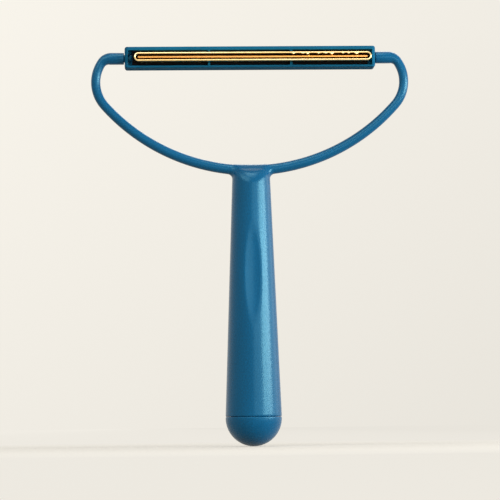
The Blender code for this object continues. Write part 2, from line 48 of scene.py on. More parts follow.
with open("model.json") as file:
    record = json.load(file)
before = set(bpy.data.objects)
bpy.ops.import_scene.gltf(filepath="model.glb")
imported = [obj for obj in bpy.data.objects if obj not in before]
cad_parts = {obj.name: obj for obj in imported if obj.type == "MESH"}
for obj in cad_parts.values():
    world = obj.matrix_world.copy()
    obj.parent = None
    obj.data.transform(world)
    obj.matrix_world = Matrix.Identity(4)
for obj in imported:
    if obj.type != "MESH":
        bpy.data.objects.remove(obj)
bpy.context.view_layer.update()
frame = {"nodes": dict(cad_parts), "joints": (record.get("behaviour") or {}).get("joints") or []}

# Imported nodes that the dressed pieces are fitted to, and the pins' axis
YOKE_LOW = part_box("handle_yoke")[0]
CAP_LOW, CAP_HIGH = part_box("end_cap")
SHELL_LOW, SHELL_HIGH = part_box("head_shell_front")
CARRIER_LOW, CARRIER_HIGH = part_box("blade_carrier")
RING_LOW, RING_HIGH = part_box("blade_ring_front")
STRIP_LOW, STRIP_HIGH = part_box("middle_blade_front")
PIN_Z = frame["joints"][0]["pos_m"][2]

# Fineness of the meshes
SHARP_ANGLE = math.radians(35.0)
EDGE_STEPS = 4
TURNED_SIDES = 192
HANDLE_ROW = 0.6 * MM
DOME_ROWS = 64
BOW_SIDES = 48
BOW_ROW = 0.8 * MM
LEAST_ROWS = 4
CORNER_STEPS = 6
POCKET_STEPS = 12
RIM_STEPS = 6
STRIP_EDGE_STEPS = 5
RUN_STEPS = 480
ROUND_END_STEPS = 32
STRIP_COLUMNS = 120

# Bow
PIN_ABOVE_CROTCH = 47.5 * MM
CROTCH_Z = PIN_Z - PIN_ABOVE_CROTCH
CROTCH_FILLET = 1.9 * MM
CROTCH_DIAMETER = 4.4 * MM
SIDE_DIAMETER = 3.9 * MM
CORNER_RADIUS = 14.9 * MM
BEND_CHANGE_ANGLE = math.radians(32.5)
TOP_BEND_RADIUS = 4.4 * MM
STUB_LENGTH = 5.9 * MM
STUB_DIAMETER = 5.0 * MM
STUB_EDGE = 0.25 * MM

# Handle
SEAM_Z = YOKE_LOW.z
CROTCH_ABOVE_SHOULDER = 3.3 * MM
SHOULDER_Z = CROTCH_Z - CROTCH_ABOVE_SHOULDER
SHOULDER_RADIUS = 2.2 * MM
VAULT_RISE = 4.6 * MM
VAULT_STEEPNESS = 0.85
HANDLE_TOP_RADIUS = 7.95 * MM
HANDLE_END_RADIUS = CAP_HIGH.x
HANDLE_WALL = 2.0 * MM
SEAM_EDGE = 0.4 * MM
SOCKET_DEPTH = 8.6 * MM
BORE_WALL = 2.6 * MM
BORE_ROOF = 7.0 * MM
BORE_ROOF_Z = SHOULDER_Z - BORE_ROOF

# Thumb scoops
SCOOP_LENGTH = 38.0 * MM
SCOOP_DEPTH = 0.9 * MM
SCOOP_BELLY_RADIUS = 14.6 * MM
SCOOP_EDGE = 0.35 * MM

# Patch where the bow meets the handle
PATCH_BELOW_SHOULDER = 6.0 * MM
PATCH_LOW_Z = SHOULDER_Z - PATCH_BELOW_SHOULDER
PATCH_REACH = 15.0 * MM
PATCH_MARGIN = 2.0 * MM
PATCH_HEADROOM = 6.0 * MM
PATCH_STEP = 0.5 * MM
PATCH_PASSES = 10
PATCH_SNAP = 0.12 * MM
PATCH_RING_REACH = 1.1 * PATCH_SNAP
SETTLE_PROBE = 0.005 * MM
SETTLE_ROUNDS = 5
PATCH_SETTLE_ROUNDS = 8
RELAX_SETTLE_ROUNDS = 2
LEAST_STEEPNESS = 0.05

# End cap
SEAM_GAP = 0.08 * MM
CAP_FACE_Z = SEAM_Z - SEAM_GAP
CAP_EDGE = 0.35 * MM
CAP_CENTRE_Z = CAP_LOW.z + HANDLE_END_RADIUS
CAP_HOLLOW_DEPTH = 6.0 * MM
CAP_HOLLOW_Z = SEAM_Z - CAP_HOLLOW_DEPTH
SPIGOT_GAP = 0.45 * MM
SPIGOT_RADIUS = HANDLE_END_RADIUS - HANDLE_WALL - SPIGOT_GAP
SPIGOT_WALL = 1.4 * MM
SPIGOT_TOP_Z = CAP_HIGH.z

# Head bar
BAR_HALF_LENGTH = SHELL_HIGH.x
BAR_HALF_HEIGHT = (SHELL_HIGH.z - SHELL_LOW.z) / 2.0
BAR_FRONT = -SHELL_LOW.y
BAR_BACK = 0.04 * MM
LIP = 1.15 * MM
END_WALL = 1.4 * MM
UPRIGHT_RADIUS = 1.5 * MM
OUTLINE_RADIUS = 0.35 * MM
OUTER_CORNER = 1.0 * MM
WINDOW_CORNER = 0.3 * MM
WINDOW_DROP = 0.3 * MM
WINDOW_EDGE = 0.15 * MM
PARTING_EDGE = 0.1 * MM
PARTING_SHARES = (0.6, 0.2, 0.0)
FACE_INSETS_MM = (0.0, 0.005, 0.02, 0.05, 0.1, 0.16, 0.24, 0.35, 0.5, 0.7, 0.85)
END_ZONE = 3.0 * MM
END_COLUMNS = 8
BAR_COLUMNS = 120
WALL_ROWS = 6
BORE_ROWS = 24

# Swivel pins
PIN_GAP = 0.3 * MM
STUB_END_X = BAR_HALF_LENGTH + PIN_GAP
JOURNAL_RADIUS = 1.6 * MM
PIN_HEAD_RADIUS = 2.1 * MM
PIN_HEAD_THICKNESS = 1.2 * MM
PIN_HEAD_X = BAR_HALF_LENGTH - END_WALL - PIN_GAP
PIN_TIP_X = PIN_HEAD_X - PIN_HEAD_THICKNESS
PIN_CHAMFER = 0.4 * MM

# Fittings inside the bar
FOOT = BAR_HALF_HEIGHT - LIP / 2.0
BLOCK_FRONT = 1.5 * MM
BLOCK_GAP = 0.2 * MM
BLOCK_INNER_X = CARRIER_HIGH.x + BLOCK_GAP
BLOCK_OUTER_X = BAR_HALF_LENGTH - END_WALL / 2.0
LEDGE_GAP = 0.075 * MM
LEDGE_RISE = (CARRIER_HIGH.z - CARRIER_LOW.z) / 2.0 + LEDGE_GAP
LEDGE_END_X = CARRIER_HIGH.x
WEB_OVERLAP = 0.2 * MM
WEB_GAP = 0.02 * MM
WEB_INNER_X = CARRIER_HIGH.x - WEB_OVERLAP
WEB_OUTER_X = PIN_TIP_X - WEB_GAP
RIB_X = 17.3 * MM
RIB_WIDTH = 1.0 * MM
RIB_DEPTH = 0.8 * MM
RIB_HEIGHT = 0.9 * MM
RIB_GAP = 0.3 * MM
RIB_NEAR = -CARRIER_LOW.y + RIB_GAP
RIB_FAR = RIB_NEAR + RIB_DEPTH
RIB_TIP = BAR_HALF_HEIGHT - LIP - RIB_HEIGHT

# Brass loops and strips
BRASS_DROP = 0.42 * MM
BRASS_Z = PIN_Z - BRASS_DROP
RING_CENTRE_X = (RING_LOW.x + RING_HIGH.x) / 2.0
RING_LENGTH = 99.4 * MM
RING_HEIGHT = 3.6 * MM
RING_WALL = 0.6 * MM
RING_BACK = -RING_HIGH.y
RING_FRONT = -RING_LOW.y
RIM_RADIUS = 0.28 * MM
STRIP_LENGTH = 96.2 * MM
STRIP_THICKNESS = STRIP_HIGH.z - STRIP_LOW.z
STRIP_BACK = -STRIP_HIGH.y
STRIP_FRONT = -STRIP_LOW.y
STRIP_EDGE = 0.2 * MM

# Crimps in the loops, and how their place, length and depth waver: by what share and how fast
CRIMP_COUNT = 9
CRIMP_FIRST_X = 17.0 * MM
CRIMP_PITCH = 3.35 * MM
CRIMP_DEPTH = 0.65 * MM
CRIMP_HALF_LENGTH = 0.95 * MM
PLACE_WAVER = (0.22, 2.3)
LENGTH_WAVER = (0.3, 1.7)
DEPTH_WAVER = (0.3, 4.1)

# Range of a noise that the roughness and the blacks are spread over
NOISE_SPAN = (0.3, 0.7)

# Moulded plastic
BLUE = (0.001, 0.075, 0.180)
BLUE_ROUGHNESS = (0.24, 0.30)
BLUE_GLOSS = 0.38
HEAD_BLUE = (0.008, 0.098, 0.188)
HEAD_ROUGHNESS = (0.62, 0.72)
HEAD_GLOSS = 0.02
GLOSS_TINT = (0.38, 0.90, 1.0, 1.0)
FLOW_SCALE = 60.0
FLOW_DETAIL = 4.0
FLOW_STRETCH = (1.0, 1.0, 0.35)
FLOW_STOPS = (0.35, 0.65)
FLOW_CONTRAST = 0.07
PEEL_SCALE = 900.0
PEEL_DETAIL = 2.0
PEEL_DEPTH = 0.002 * MM

# Drawn brass, whose colours run from its dark streaks to its light ones
RING_BRASS = ((0.84, 0.56, 0.20), (0.95, 0.75, 0.37), (0.98, 0.86, 0.54))
RING_ROUGHNESS = (0.14, 0.24)
# The middle strips' brass is darker and more orange than the loops': painted shade for their place
# inside the loops
STRIP_BRASS_PAINTED_SHADE = ((0.66, 0.31, 0.07), (0.82, 0.44, 0.14), (0.90, 0.56, 0.22))
STRIP_ROUGHNESS = (0.24, 0.34)
STREAK_SCALE = 500.0
STREAK_DETAIL = 4.0
STREAK_STRETCH = (0.03, 1.0, 1.0)
STREAK_STOPS = (0.3, 0.55, 0.8)
STREAK_DEPTH = 0.006 * MM

# Near-black for the blade carrier: painted shade inside the head bar
BLACKS = ((0.003, 0.003, 0.0035), (0.007, 0.007, 0.008))
BLACK_ROUGHNESS = (0.8, 0.9)
BLACK_GLOSS = 0.05
GRAIN_SCALE = 1500.0
GRAIN_DETAIL = 3.0
GRAIN_DEPTH = 0.01 * MM

# Floor
CREAM = (1.0, 0.962, 0.882)
FLOOR_GAP = 0.1 * MM
FLOOR_RADII = (0.15, 0.3, 0.6, 1.2, 2.5, 5.0, 10.0, 30.0)
FLOOR_SIDES = 96
FLOOR_ROUGHNESS = 0.9
FLOOR_GLOSS = 0.1
BOUNCE_LEVEL = 0.25
PAPER_LEVEL = 0.6
FADE_SPAN = (0.12, 0.35)
GLOW_LEVELS = (1.0, 0.845)
GLOW_SHARES = (0.3, 1.0)
FLOOR_X_SPAN = (-0.4, 0.4)
FLOOR_X_LEVELS = (1.04, 0.96)

# Backdrop
SOFT_LIGHT = 0.40
BACKDROP_X_SPAN = (-0.2, 0.2)
BACKDROP_X_LEVELS = (1.068, 0.932)
BACKDROP_Z_SPAN = (-0.05, 0.25)
BACKDROP_Z_LEVELS = (0.835, 0.955)

# Low lamps, all as far out and as high: turn from the front in degrees, size and radiance
LOW_LAMP_AWAY = 0.75
LOW_LAMP_HEIGHT = 0.09
LOW_LAMPS = {
    "stripe_softbox": (61.0, (0.60, 0.22), 16.0),
    "front_card": (19.0, (0.48, 0.26), 2.3),
    "side_card": (100.0, (0.60, 0.30), 1.7),
}

# High lamps: place, height that they aim at, size and radiance
HIGH_LAMPS = {
    "key_softbox": ((-0.45, -0.65, 0.62), 0.03, (0.7, 0.5), 3.0),
    "top_softbox": ((0.0, -0.32, 0.85), 0.0, (0.35, 0.35), 5.0),
    "rear_softbox": ((0.30, 0.70, 0.62), 0.03, (0.7, 0.5), 2.6),
}

# Camera, just above the floor and looking slightly up
CAMERA_PLACE = Vector((-0.0418, -1.0292, -0.0713))
CAMERA_TARGET = Vector((-0.0008, 0.0, 0.0027))
CAMERA_ROLL = math.radians(-0.63)
CAMERA_LENS = 177.3
CAMERA_CLIP_START = 0.05


# Mesh helpers

def add_object(name, data):
    obj = bpy.data.objects.new(name, data)
    bpy.context.scene.collection.objects.link(obj)
    return obj


def new_piece(name, bm, material, body, replaced):
    """A smooth-shaded object that rides on a body and stands for CAD nodes."""
    mesh = bpy.data.meshes.new(name)
    bmesh.ops.recalc_face_normals(bm, faces=bm.faces)
    bm.to_mesh(mesh)
    bm.free()
    mesh.materials.append(material)
    mesh.shade_smooth()
    mesh.set_sharp_from_angle(angle=SHARP_ANGLE)
    obj = add_object(name, mesh)
    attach(obj, body)
    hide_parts(*replaced)


def add_ring(bm, points):
    return [bm.verts.new(point) for point in points]


def skin(bm, rings):
    """Quads between each ring and the next, which has as many points."""
    for low, high in zip(rings[:-1], rings[1:]):
        for i in range(len(low)):
            j = (i + 1) % len(low)
            bm.faces.new((low[i], low[j], high[j], high[i]))


def cap_ring(bm, ring):
    """Triangles from a ring to its centre."""
    hub = bm.verts.new(sum((vert.co for vert in ring), Vector()) / len(ring))
    for i, vert in enumerate(ring):
        bm.faces.new((vert, ring[(i + 1) % len(ring)], hub))


def along(start, end, count):
    """Even steps from start up to, but without, the end."""
    return [start + (end - start) * i / count for i in range(count)]


def circle(centre, across, up, radius, sides):
    return [centre + radius * (math.cos(angle) * across + math.sin(angle) * up)
            for angle in along(0.0, FULL_TURN, sides)]


def turned_ring(bm, radius, z, sides):
    """A level ring round the handle's axis."""
    return add_ring(bm, circle(z * Z_AXIS, X_AXIS, Y_AXIS, radius, sides))


def arc(centre, radius, start, end, count):
    """Points (a, b) on an arc, with both ends."""
    return [(centre[0] + radius * math.cos(angle), centre[1] + radius * math.sin(angle))
            for angle in along(start, end, count) + [end]]


# The yoke's surface as a distance field

def handle_radius(z):
    share = (SHOULDER_Z - z) / (SHOULDER_Z - SEAM_Z)
    return HANDLE_TOP_RADIUS + (HANDLE_END_RADIUS - HANDLE_TOP_RADIUS) * share


def round_union(first, second, radius):
    u = np.maximum(radius - first, 0.0)
    v = np.maximum(radius - second, 0.0)
    return np.maximum(radius, np.minimum(first, second)) - np.hypot(u, v)


def round_intersection(first, second, radius):
    return -round_union(-first, -second, radius)


def bow_arcs():
    """Centres (x, z) and radii of the right half's arcs, which run tangent into each other."""
    top_centre = Vector((STUB_END_X + STUB_LENGTH, PIN_Z - TOP_BEND_RADIUS))
    towards = Vector((math.cos(BEND_CHANGE_ANGLE), math.sin(BEND_CHANGE_ANGLE)))
    corner_centre = top_centre - (CORNER_RADIUS - TOP_BEND_RADIUS) * towards
    reach, rise = corner_centre.x, corner_centre.y - CROTCH_Z
    crotch_radius = (reach**2 + rise**2 - CORNER_RADIUS**2) / (2.0 * (rise - CORNER_RADIUS))
    return Vector((0.0, CROTCH_Z + crotch_radius)), crotch_radius, corner_centre, top_centre


CROTCH_CENTRE, CROTCH_RADIUS, CORNER_CENTRE, TOP_CENTRE = bow_arcs()
HANDOVER = CORNER_CENTRE - CROTCH_CENTRE
HANDOVER_ANGLE = math.atan2(HANDOVER.y, HANDOVER.x)
CROTCH_SWING = HANDOVER_ANGLE + QUARTER
PATCH_SWING = math.asin(PATCH_REACH / CROTCH_RADIUS)


def crotch_arc_diameter(swing):
    """The bow's thickness at an angle from its lowest point."""
    return CROTCH_DIAMETER + (SIDE_DIAMETER - CROTCH_DIAMETER) * swing / CROTCH_SWING


def scoop_distance(x, y, z):
    """Distance to the barrels that hollow the two thumb scoops."""
    dip = SCOOP_BELLY_RADIUS - SCOOP_DEPTH
    half_height = SCOOP_LENGTH / 2.0 / math.sqrt(1.0 - (dip / SCOOP_BELLY_RADIUS) ** 2)
    off = handle_radius(0.0) + dip
    squeezed = z * SCOOP_BELLY_RADIUS / half_height
    return np.sqrt(x**2 + (np.abs(y) - off) ** 2 + squeezed**2) - SCOOP_BELLY_RADIUS


def yoke_distance(points):
    """Distance to the handle with its scoops and vaulted top, blended with the bow."""
    x, y, z = points.T
    side = np.hypot(x, y) - handle_radius(z)
    side = round_intersection(side, -scoop_distance(x, y, z), SCOOP_EDGE)
    roof = SHOULDER_Z + VAULT_RISE * (1.0 - (y / HANDLE_TOP_RADIUS) ** 2)
    handle = round_intersection(side, (z - roof) * VAULT_STEEPNESS, SHOULDER_RADIUS)
    rise = z - CROTCH_CENTRE.y
    thickness = crotch_arc_diameter(np.arctan2(np.abs(x), -rise))
    bow = np.hypot(np.hypot(x, rise) - CROTCH_RADIUS, y) - thickness / 2.0
    return round_union(handle, bow, CROTCH_FILLET)


def settle(points, rounds):
    """Points moved along the field's slope onto the yoke's surface."""
    for _ in range(rounds):
        slope = np.empty_like(points)
        for axis in range(3):
            step = np.zeros(3)
            step[axis] = SETTLE_PROBE
            change = yoke_distance(points + step) - yoke_distance(points - step)
            slope[:, axis] = change / (2.0 * SETTLE_PROBE)
        steepness = np.maximum((slope**2).sum(axis=1), LEAST_STEEPNESS)
        points = points - (yoke_distance(points) / steepness)[:, None] * slope
    return points


# Parts of the yoke

def handle_rings(bm):
    """The handle below the patch, its seam edge and its bore. Returns the open top ring."""
    end_z = SEAM_Z + SEAM_EDGE
    count = round((PATCH_LOW_Z - end_z) / HANDLE_ROW)
    grid = np.array([point
                     for z in along(PATCH_LOW_Z, end_z, count) + [end_z]
                     for point in circle(z * Z_AXIS, X_AXIS, Y_AXIS, handle_radius(z), TURNED_SIDES)])
    settled = settle(grid, SETTLE_ROUNDS)
    settled[:, 2] = grid[:, 2]
    rings = [add_ring(bm, row) for row in settled.reshape(count + 1, TURNED_SIDES, 3)]
    socket_radius = HANDLE_END_RADIUS - HANDLE_WALL
    profile = arc((HANDLE_END_RADIUS - SEAM_EDGE, end_z), SEAM_EDGE, 0.0, -QUARTER, EDGE_STEPS)[1:]
    profile += [(socket_radius, SEAM_Z), (socket_radius, SEAM_Z + SOCKET_DEPTH),
                (handle_radius(BORE_ROOF_Z) - BORE_WALL, BORE_ROOF_Z)]
    rings += [turned_ring(bm, radius, z, TURNED_SIDES) for radius, z in profile]
    skin(bm, rings[::-1])
    cap_ring(bm, rings[-1])
    return rings[0]


def arm_path():
    """Right arm's centreline from the patch to the stub: (x, z, angle, diameter) at each row."""
    start = PATCH_SWING - QUARTER
    stretches = (
        (CROTCH_CENTRE, CROTCH_RADIUS, (start, HANDOVER_ANGLE),
         (crotch_arc_diameter(PATCH_SWING), SIDE_DIAMETER)),
        (CORNER_CENTRE, CORNER_RADIUS, (HANDOVER_ANGLE, BEND_CHANGE_ANGLE),
         (SIDE_DIAMETER, SIDE_DIAMETER)),
        (TOP_CENTRE, TOP_BEND_RADIUS, (BEND_CHANGE_ANGLE, QUARTER),
         (SIDE_DIAMETER, STUB_DIAMETER)),
    )
    path = []
    for centre, radius, (first, last), (first_diameter, last_diameter) in stretches:
        count = max(LEAST_ROWS, round(abs(last - first) * radius / BOW_ROW))
        angles = along(first, last, count) + [last]
        diameters = along(first_diameter, last_diameter, count) + [last_diameter]
        row = [(*place, angle, diameter) for place, angle, diameter
               in zip(arc(centre, radius, first, last, count), angles, diameters)]
        path = path[:-1] + row
    return path


def arm_rings(bm, side):
    """One arm of the bow with its stub, journal and snap head. Returns its open inner ring."""
    rings = []
    for x, z, angle, diameter in arm_path():
        direction = Vector((-side * math.sin(angle), 0.0, math.cos(angle)))
        centre = Vector((side * x, 0.0, z))
        up = direction.cross(Y_AXIS)
        rings.append(add_ring(bm, circle(centre, Y_AXIS, up, diameter / 2.0, BOW_SIDES)))
    edge_centre = (STUB_DIAMETER / 2.0 - STUB_EDGE, STUB_END_X + STUB_EDGE)
    profile = arc(edge_centre, STUB_EDGE, 0.0, -QUARTER, EDGE_STEPS)
    profile += [
        (JOURNAL_RADIUS, STUB_END_X),
        (JOURNAL_RADIUS, PIN_HEAD_X),
        (PIN_HEAD_RADIUS, PIN_HEAD_X),
        (PIN_HEAD_RADIUS, PIN_TIP_X + PIN_CHAMFER),
        (PIN_HEAD_RADIUS - PIN_CHAMFER, PIN_TIP_X),
    ]
    up = (-side * X_AXIS).cross(Y_AXIS)
    for radius, x in profile:
        centre = Vector((side * x, 0.0, PIN_Z))
        rings.append(add_ring(bm, circle(centre, Y_AXIS, up, radius, BOW_SIDES)))
    skin(bm, rings)
    cap_ring(bm, rings[-1])
    return rings[0]


def surface_net(low, high, step):
    """A quad mesh round the yoke's surface in a box: one vertex in each cell it passes."""
    axes = [np.arange(first, last + step, step) for first, last in zip(low, high)]
    grid = np.stack(np.meshgrid(*axes, indexing="ij"), axis=-1)
    shape = grid.shape[:3]
    inside = yoke_distance(grid.reshape(-1, 3)).reshape(shape) < 0.0
    cells = tuple(size - 1 for size in shape)
    filled = np.zeros(cells, int)
    for i, j, k in product((0, 1), repeat=3):
        filled += inside[i:i + cells[0], j:j + cells[1], k:k + cells[2]]
    mixed = (filled > 0) & (filled < 8)
    index = -np.ones(cells, int)
    index[mixed] = np.arange(mixed.sum())
    centres = grid[:-1, :-1, :-1][mixed] + step / 2.0
    quads = []
    for axis in range(3):
        ahead = np.moveaxis(inside, axis, 0)
        number = np.moveaxis(index, axis, 0)
        a, b, c = np.nonzero(ahead[:-1] != ahead[1:])
        held = (b > 0) & (c > 0) & (b < ahead.shape[1] - 1) & (c < ahead.shape[2] - 1)
        a, b, c = a[held], b[held], c[held]
        quads += zip(number[a, b - 1, c - 1], number[a, b, c - 1], number[a, b, c],
                     number[a, b - 1, c])
    return centres, quads


def relax(free, passes):
    """Evens out the free vertices and keeps them on the yoke's surface."""
    for _ in range(passes):
        means = []
        for vert in free:
            around = [edge.other_vert(vert).co for edge in vert.link_edges]
            means.append((vert.co + sum(around, Vector()) / len(around)) / 2.0)
        places = settle(np.array(means, dtype=float), RELAX_SETTLE_ROUNDS)
        for vert, place in zip(free, places):
            vert.co = place


def patch_planes():
    """Where the patch is cut: a point and the way out, for the handle and for each arm."""
    planes = [(PATCH_LOW_Z * Z_AXIS, -Z_AXIS)]
    arm_z = CROTCH_CENTRE.y - CROTCH_RADIUS * math.cos(PATCH_SWING)
    for side in (-1, 1):
        way_out = Vector((side * math.cos(PATCH_SWING), 0.0, math.sin(PATCH_SWING)))
        planes.append((Vector((side * PATCH_REACH, 0.0, arm_z)), way_out))
    return planes


def crotch_patch():
    """The surface where the bow grows out of the handle, cut open at its three ends."""
    reach = PATCH_REACH + PATCH_MARGIN
    half_depth = HANDLE_TOP_RADIUS + PATCH_MARGIN
    low = (-reach, -half_depth, PATCH_LOW_Z - PATCH_MARGIN)
    high = (reach, half_depth, CROTCH_Z + PATCH_HEADROOM)
    centres, quads = surface_net(low, high, PATCH_STEP)
    bm = bmesh.new()
    verts = add_ring(bm, settle(centres, PATCH_SETTLE_ROUNDS))
    for quad in quads:
        bm.faces.new([verts[i] for i in quad])
    relax([vert for vert in bm.verts if not vert.is_boundary], PATCH_PASSES)
    for point, way_out in patch_planes():
        geometry = bm.verts[:] + bm.edges[:] + bm.faces[:]
        bmesh.ops.bisect_plane(bm, geom=geometry, plane_co=point, plane_no=way_out,
                               clear_outer=True, dist=PATCH_SNAP)
    return bm


def open_ring(bm, point, way_out):
    """The boundary vertices of a patch that lie in a plane, or were snapped to it."""
    return [vert for vert in bm.verts
            if vert.is_boundary and abs((vert.co - point).dot(way_out)) < PATCH_RING_REACH]


def zip_rings(bm, first, second, point, way_out):
    """Faces between two rings of unlike counts round one axis."""
    up = way_out.cross(Y_AXIS)

    def turn(vert):
        offset = vert.co - point
        return math.atan2(offset.dot(up), offset.dot(Y_AXIS)) % FULL_TURN

    first = sorted(first, key=turn)
    second = sorted(second, key=turn)
    i = j = 0
    while i < len(first) or j < len(second):
        a, b = first[i % len(first)], second[j % len(second)]
        ahead_a = turn(first[i + 1]) if i + 1 < len(first) else FULL_TURN
        ahead_b = turn(second[j + 1]) if j + 1 < len(second) else FULL_TURN
        if j >= len(second) or (i < len(first) and ahead_a <= ahead_b):
            bm.faces.new((a, first[(i + 1) % len(first)], b))
            i += 1
        else:
            bm.faces.new((a, second[(j + 1) % len(second)], b))
            j += 1


def make_yoke(material):
    """Handle, bow and pins in one closed skin, with the patch zipped to the handle and arms."""
    bm = crotch_patch()
    planes = patch_planes()
    patch_rings = [open_ring(bm, *plane) for plane in planes]
    body_rings = [handle_rings(bm), arm_rings(bm, -1), arm_rings(bm, 1)]
    for plane, patch_ring, body_ring in zip(planes, patch_rings, body_rings):
        zip_rings(bm, patch_ring, body_ring, *plane)
    new_piece("yoke", bm, material, "handle", ["handle_yoke"])


# End cap

def make_cap(material):
    """A hollow spigot, the face at the seam and the dome, turned as one profile."""
    hollow_radius = SPIGOT_RADIUS - SPIGOT_WALL
    edge_centre = (HANDLE_END_RADIUS - CAP_EDGE, CAP_FACE_Z - CAP_EDGE)
    dome_centre = (0.0, CAP_CENTRE_Z)
    profile = [(hollow_radius, CAP_HOLLOW_Z), (hollow_radius, SPIGOT_TOP_Z),
               (SPIGOT_RADIUS, SPIGOT_TOP_Z), (SPIGOT_RADIUS, CAP_FACE_Z)]
    profile += arc(edge_centre, CAP_EDGE, QUARTER, 0.0, EDGE_STEPS)
    profile += arc(dome_centre, HANDLE_END_RADIUS, 0.0, -QUARTER, DOME_ROWS)[:-1]
    bm = bmesh.new()
    rings = [turned_ring(bm, radius, z, TURNED_SIDES) for radius, z in profile]
    skin(bm, rings)
    cap_ring(bm, rings[0])
    cap_ring(bm, rings[-1])
    new_piece("cap", bm, material, "handle", ["end_cap"])


# Head bar

def sink(t, edge, radius):
    """How far a rounded edge has dropped at a distance t from the middle."""
    over = max(t - (edge - radius), 0.0)
    return radius - math.sqrt(max(radius**2 - over**2, 0.0))


def bar_front(x, z):
    """The front face, rounded at its ends and, less, at its long edges."""
    front = BAR_FRONT - sink(abs(x), BAR_HALF_LENGTH, UPRIGHT_RADIUS)
    return front - sink(abs(z), BAR_HALF_HEIGHT, OUTLINE_RADIUS)


def bar_back(x, z):
    """The parting face, with the half bores for the journals in the end walls."""
    bore = JOURNAL_RADIUS + PIN_GAP
    if abs(x) < BAR_HALF_LENGTH - END_WALL - WINDOW_EDGE or abs(z) >= bore:
        return BAR_BACK
    return max(BAR_BACK, math.sqrt(bore**2 - z**2))


def bar_outline(inset):
    """Points (x, z) round the bar, moved in from its outline by a share of the lip."""
    half_length = BAR_HALF_LENGTH - inset * END_WALL
    half_height = BAR_HALF_HEIGHT - inset * LIP
    corner = OUTER_CORNER + (WINDOW_CORNER - OUTER_CORNER) * inset
    reach = half_length - corner
    rise = half_height - corner
    near_end = BAR_HALF_LENGTH - END_ZONE
    bore = JOURNAL_RADIUS + PIN_GAP
    level = along(-reach, -near_end, END_COLUMNS) + along(-near_end, near_end, BAR_COLUMNS)
    level += along(near_end, reach, END_COLUMNS)
    upright = along(-rise, -bore, WALL_ROWS)
    upright += [bore * math.sin(angle) for angle in along(-QUARTER, QUARTER, BORE_ROWS)]
    upright += along(bore, rise, WALL_ROWS)
    points = []
    for sign in (1, -1):
        start = -sign * QUARTER
        middle = start + QUARTER
        points += [(sign * x, -sign * half_height) for x in level]
        points += arc((sign * reach, -sign * rise), corner, start, middle, CORNER_STEPS)[:-1]
        points += [(sign * half_length, sign * z) for z in upright]
        points += arc((sign * reach, sign * rise), corner, middle, middle + QUARTER, CORNER_STEPS)[:-1]
    return [(x, z - WINDOW_DROP * inset) for x, z in points]


def wall_section():
    """Once round a shell's wall: share of the lip, face and lift off that face.

    It runs out along the parting face, over the rounded outer edge, in along the front, round
    the window's edge and back.
    """
    edge = PARTING_EDGE / LIP
    section = [(1.0 - edge, bar_back, 0.0), (edge, bar_back, 0.0)]
    for share in PARTING_SHARES:
        lift = PARTING_EDGE * (1.0 - math.sqrt(1.0 - (1.0 - share) ** 2))
        section.append((edge * share, bar_back, lift))
    section += [(inset * MM / LIP, bar_front, 0.0) for inset in FACE_INSETS_MM]
    for angle in along(0.0, QUARTER, EDGE_STEPS) + [QUARTER]:
        inset = LIP - WINDOW_EDGE * (1.0 - math.sin(angle))
        section.append((inset / LIP, bar_front, -WINDOW_EDGE * (1.0 - math.cos(angle))))
    section.append((1.0, bar_back, PARTING_EDGE))
    return section


def add_prism(bm, side, outline, first_x, last_x):
    """A solid in a shell, from an outline of points (depth, rise above the pins' axis)."""
    ends = [add_ring(bm, [(x, side * depth, PIN_Z + rise) for depth, rise in outline])
            for x in (first_x, last_x)]
    skin(bm, ends)
    for end in ends:
        bm.faces.new(end)


def add_fittings(bm, side):
    """Blocks with pockets for the pins' heads, ribs, ledges and end webs, on a shell's wall."""
    pocket = PIN_HEAD_RADIUS + PIN_GAP
    first, last = math.asin(BAR_BACK / pocket), math.asin(BLOCK_FRONT / pocket)
    for up in (-1, 1):
        block = [(pocket * math.sin(angle), up * pocket * math.cos(angle))
                 for angle in along(first, last, POCKET_STEPS) + [last]]
        block += [(BLOCK_FRONT, up * FOOT), (BAR_BACK, up * FOOT)]
        rib = [(RIB_NEAR, up * FOOT), (RIB_NEAR, up * RIB_TIP), (RIB_FAR - WINDOW_EDGE, up * RIB_TIP),
               (RIB_FAR, up * (RIB_TIP + WINDOW_EDGE)), (RIB_FAR, up * FOOT)]
        ledge = [(BAR_BACK, up * LEDGE_RISE), (BLOCK_FRONT, up * LEDGE_RISE),
                 (BLOCK_FRONT, up * FOOT), (BAR_BACK, up * FOOT)]
        for end in (-1, 1):
            add_prism(bm, side, block, end * BLOCK_INNER_X, end * BLOCK_OUTER_X)
            add_prism(bm, side, rib, end * RIB_X - RIB_WIDTH / 2.0, end * RIB_X + RIB_WIDTH / 2.0)
        add_prism(bm, side, ledge, -LEDGE_END_X, LEDGE_END_X)
    web = [(BAR_BACK, -FOOT), (BLOCK_FRONT, -FOOT), (BLOCK_FRONT, FOOT), (BAR_BACK, FOOT)]
    for end in (-1, 1):
        add_prism(bm, side, web, end * WEB_INNER_X, end * WEB_OUTER_X)


def make_shell(place, side, material):
    bm = bmesh.new()
    rings = []
    for inset, face, lift in wall_section():
        rings.append(add_ring(bm, [(x, side * (face(x, z) + lift), PIN_Z + z)
                                   for x, z in bar_outline(inset)]))
    skin(bm, rings + rings[:1])
    add_fittings(bm, side)
    new_piece("shell_" + place, bm, material, "head", ["head_shell_" + place])


# Brass loops and strips

def stadium(inset):
    """Points (x, z) round the loop, moved in from its outline."""
    radius = RING_HEIGHT / 2.0 - inset
    reach = RING_LENGTH / 2.0 - RING_HEIGHT / 2.0
    points = []
    for sign in (-1, 1):
        start = sign * QUARTER
        points += [(-sign * x, sign * radius) for x in along(-reach, reach, RUN_STEPS)]
        points += arc((-sign * reach, 0.0), radius, start, start + math.pi, ROUND_END_STEPS)[:-1]
    return points


def waver(i, share, pace):
    """A small share, up or down, that differs from crimp to crimp."""
    return share * math.sin(pace * i)


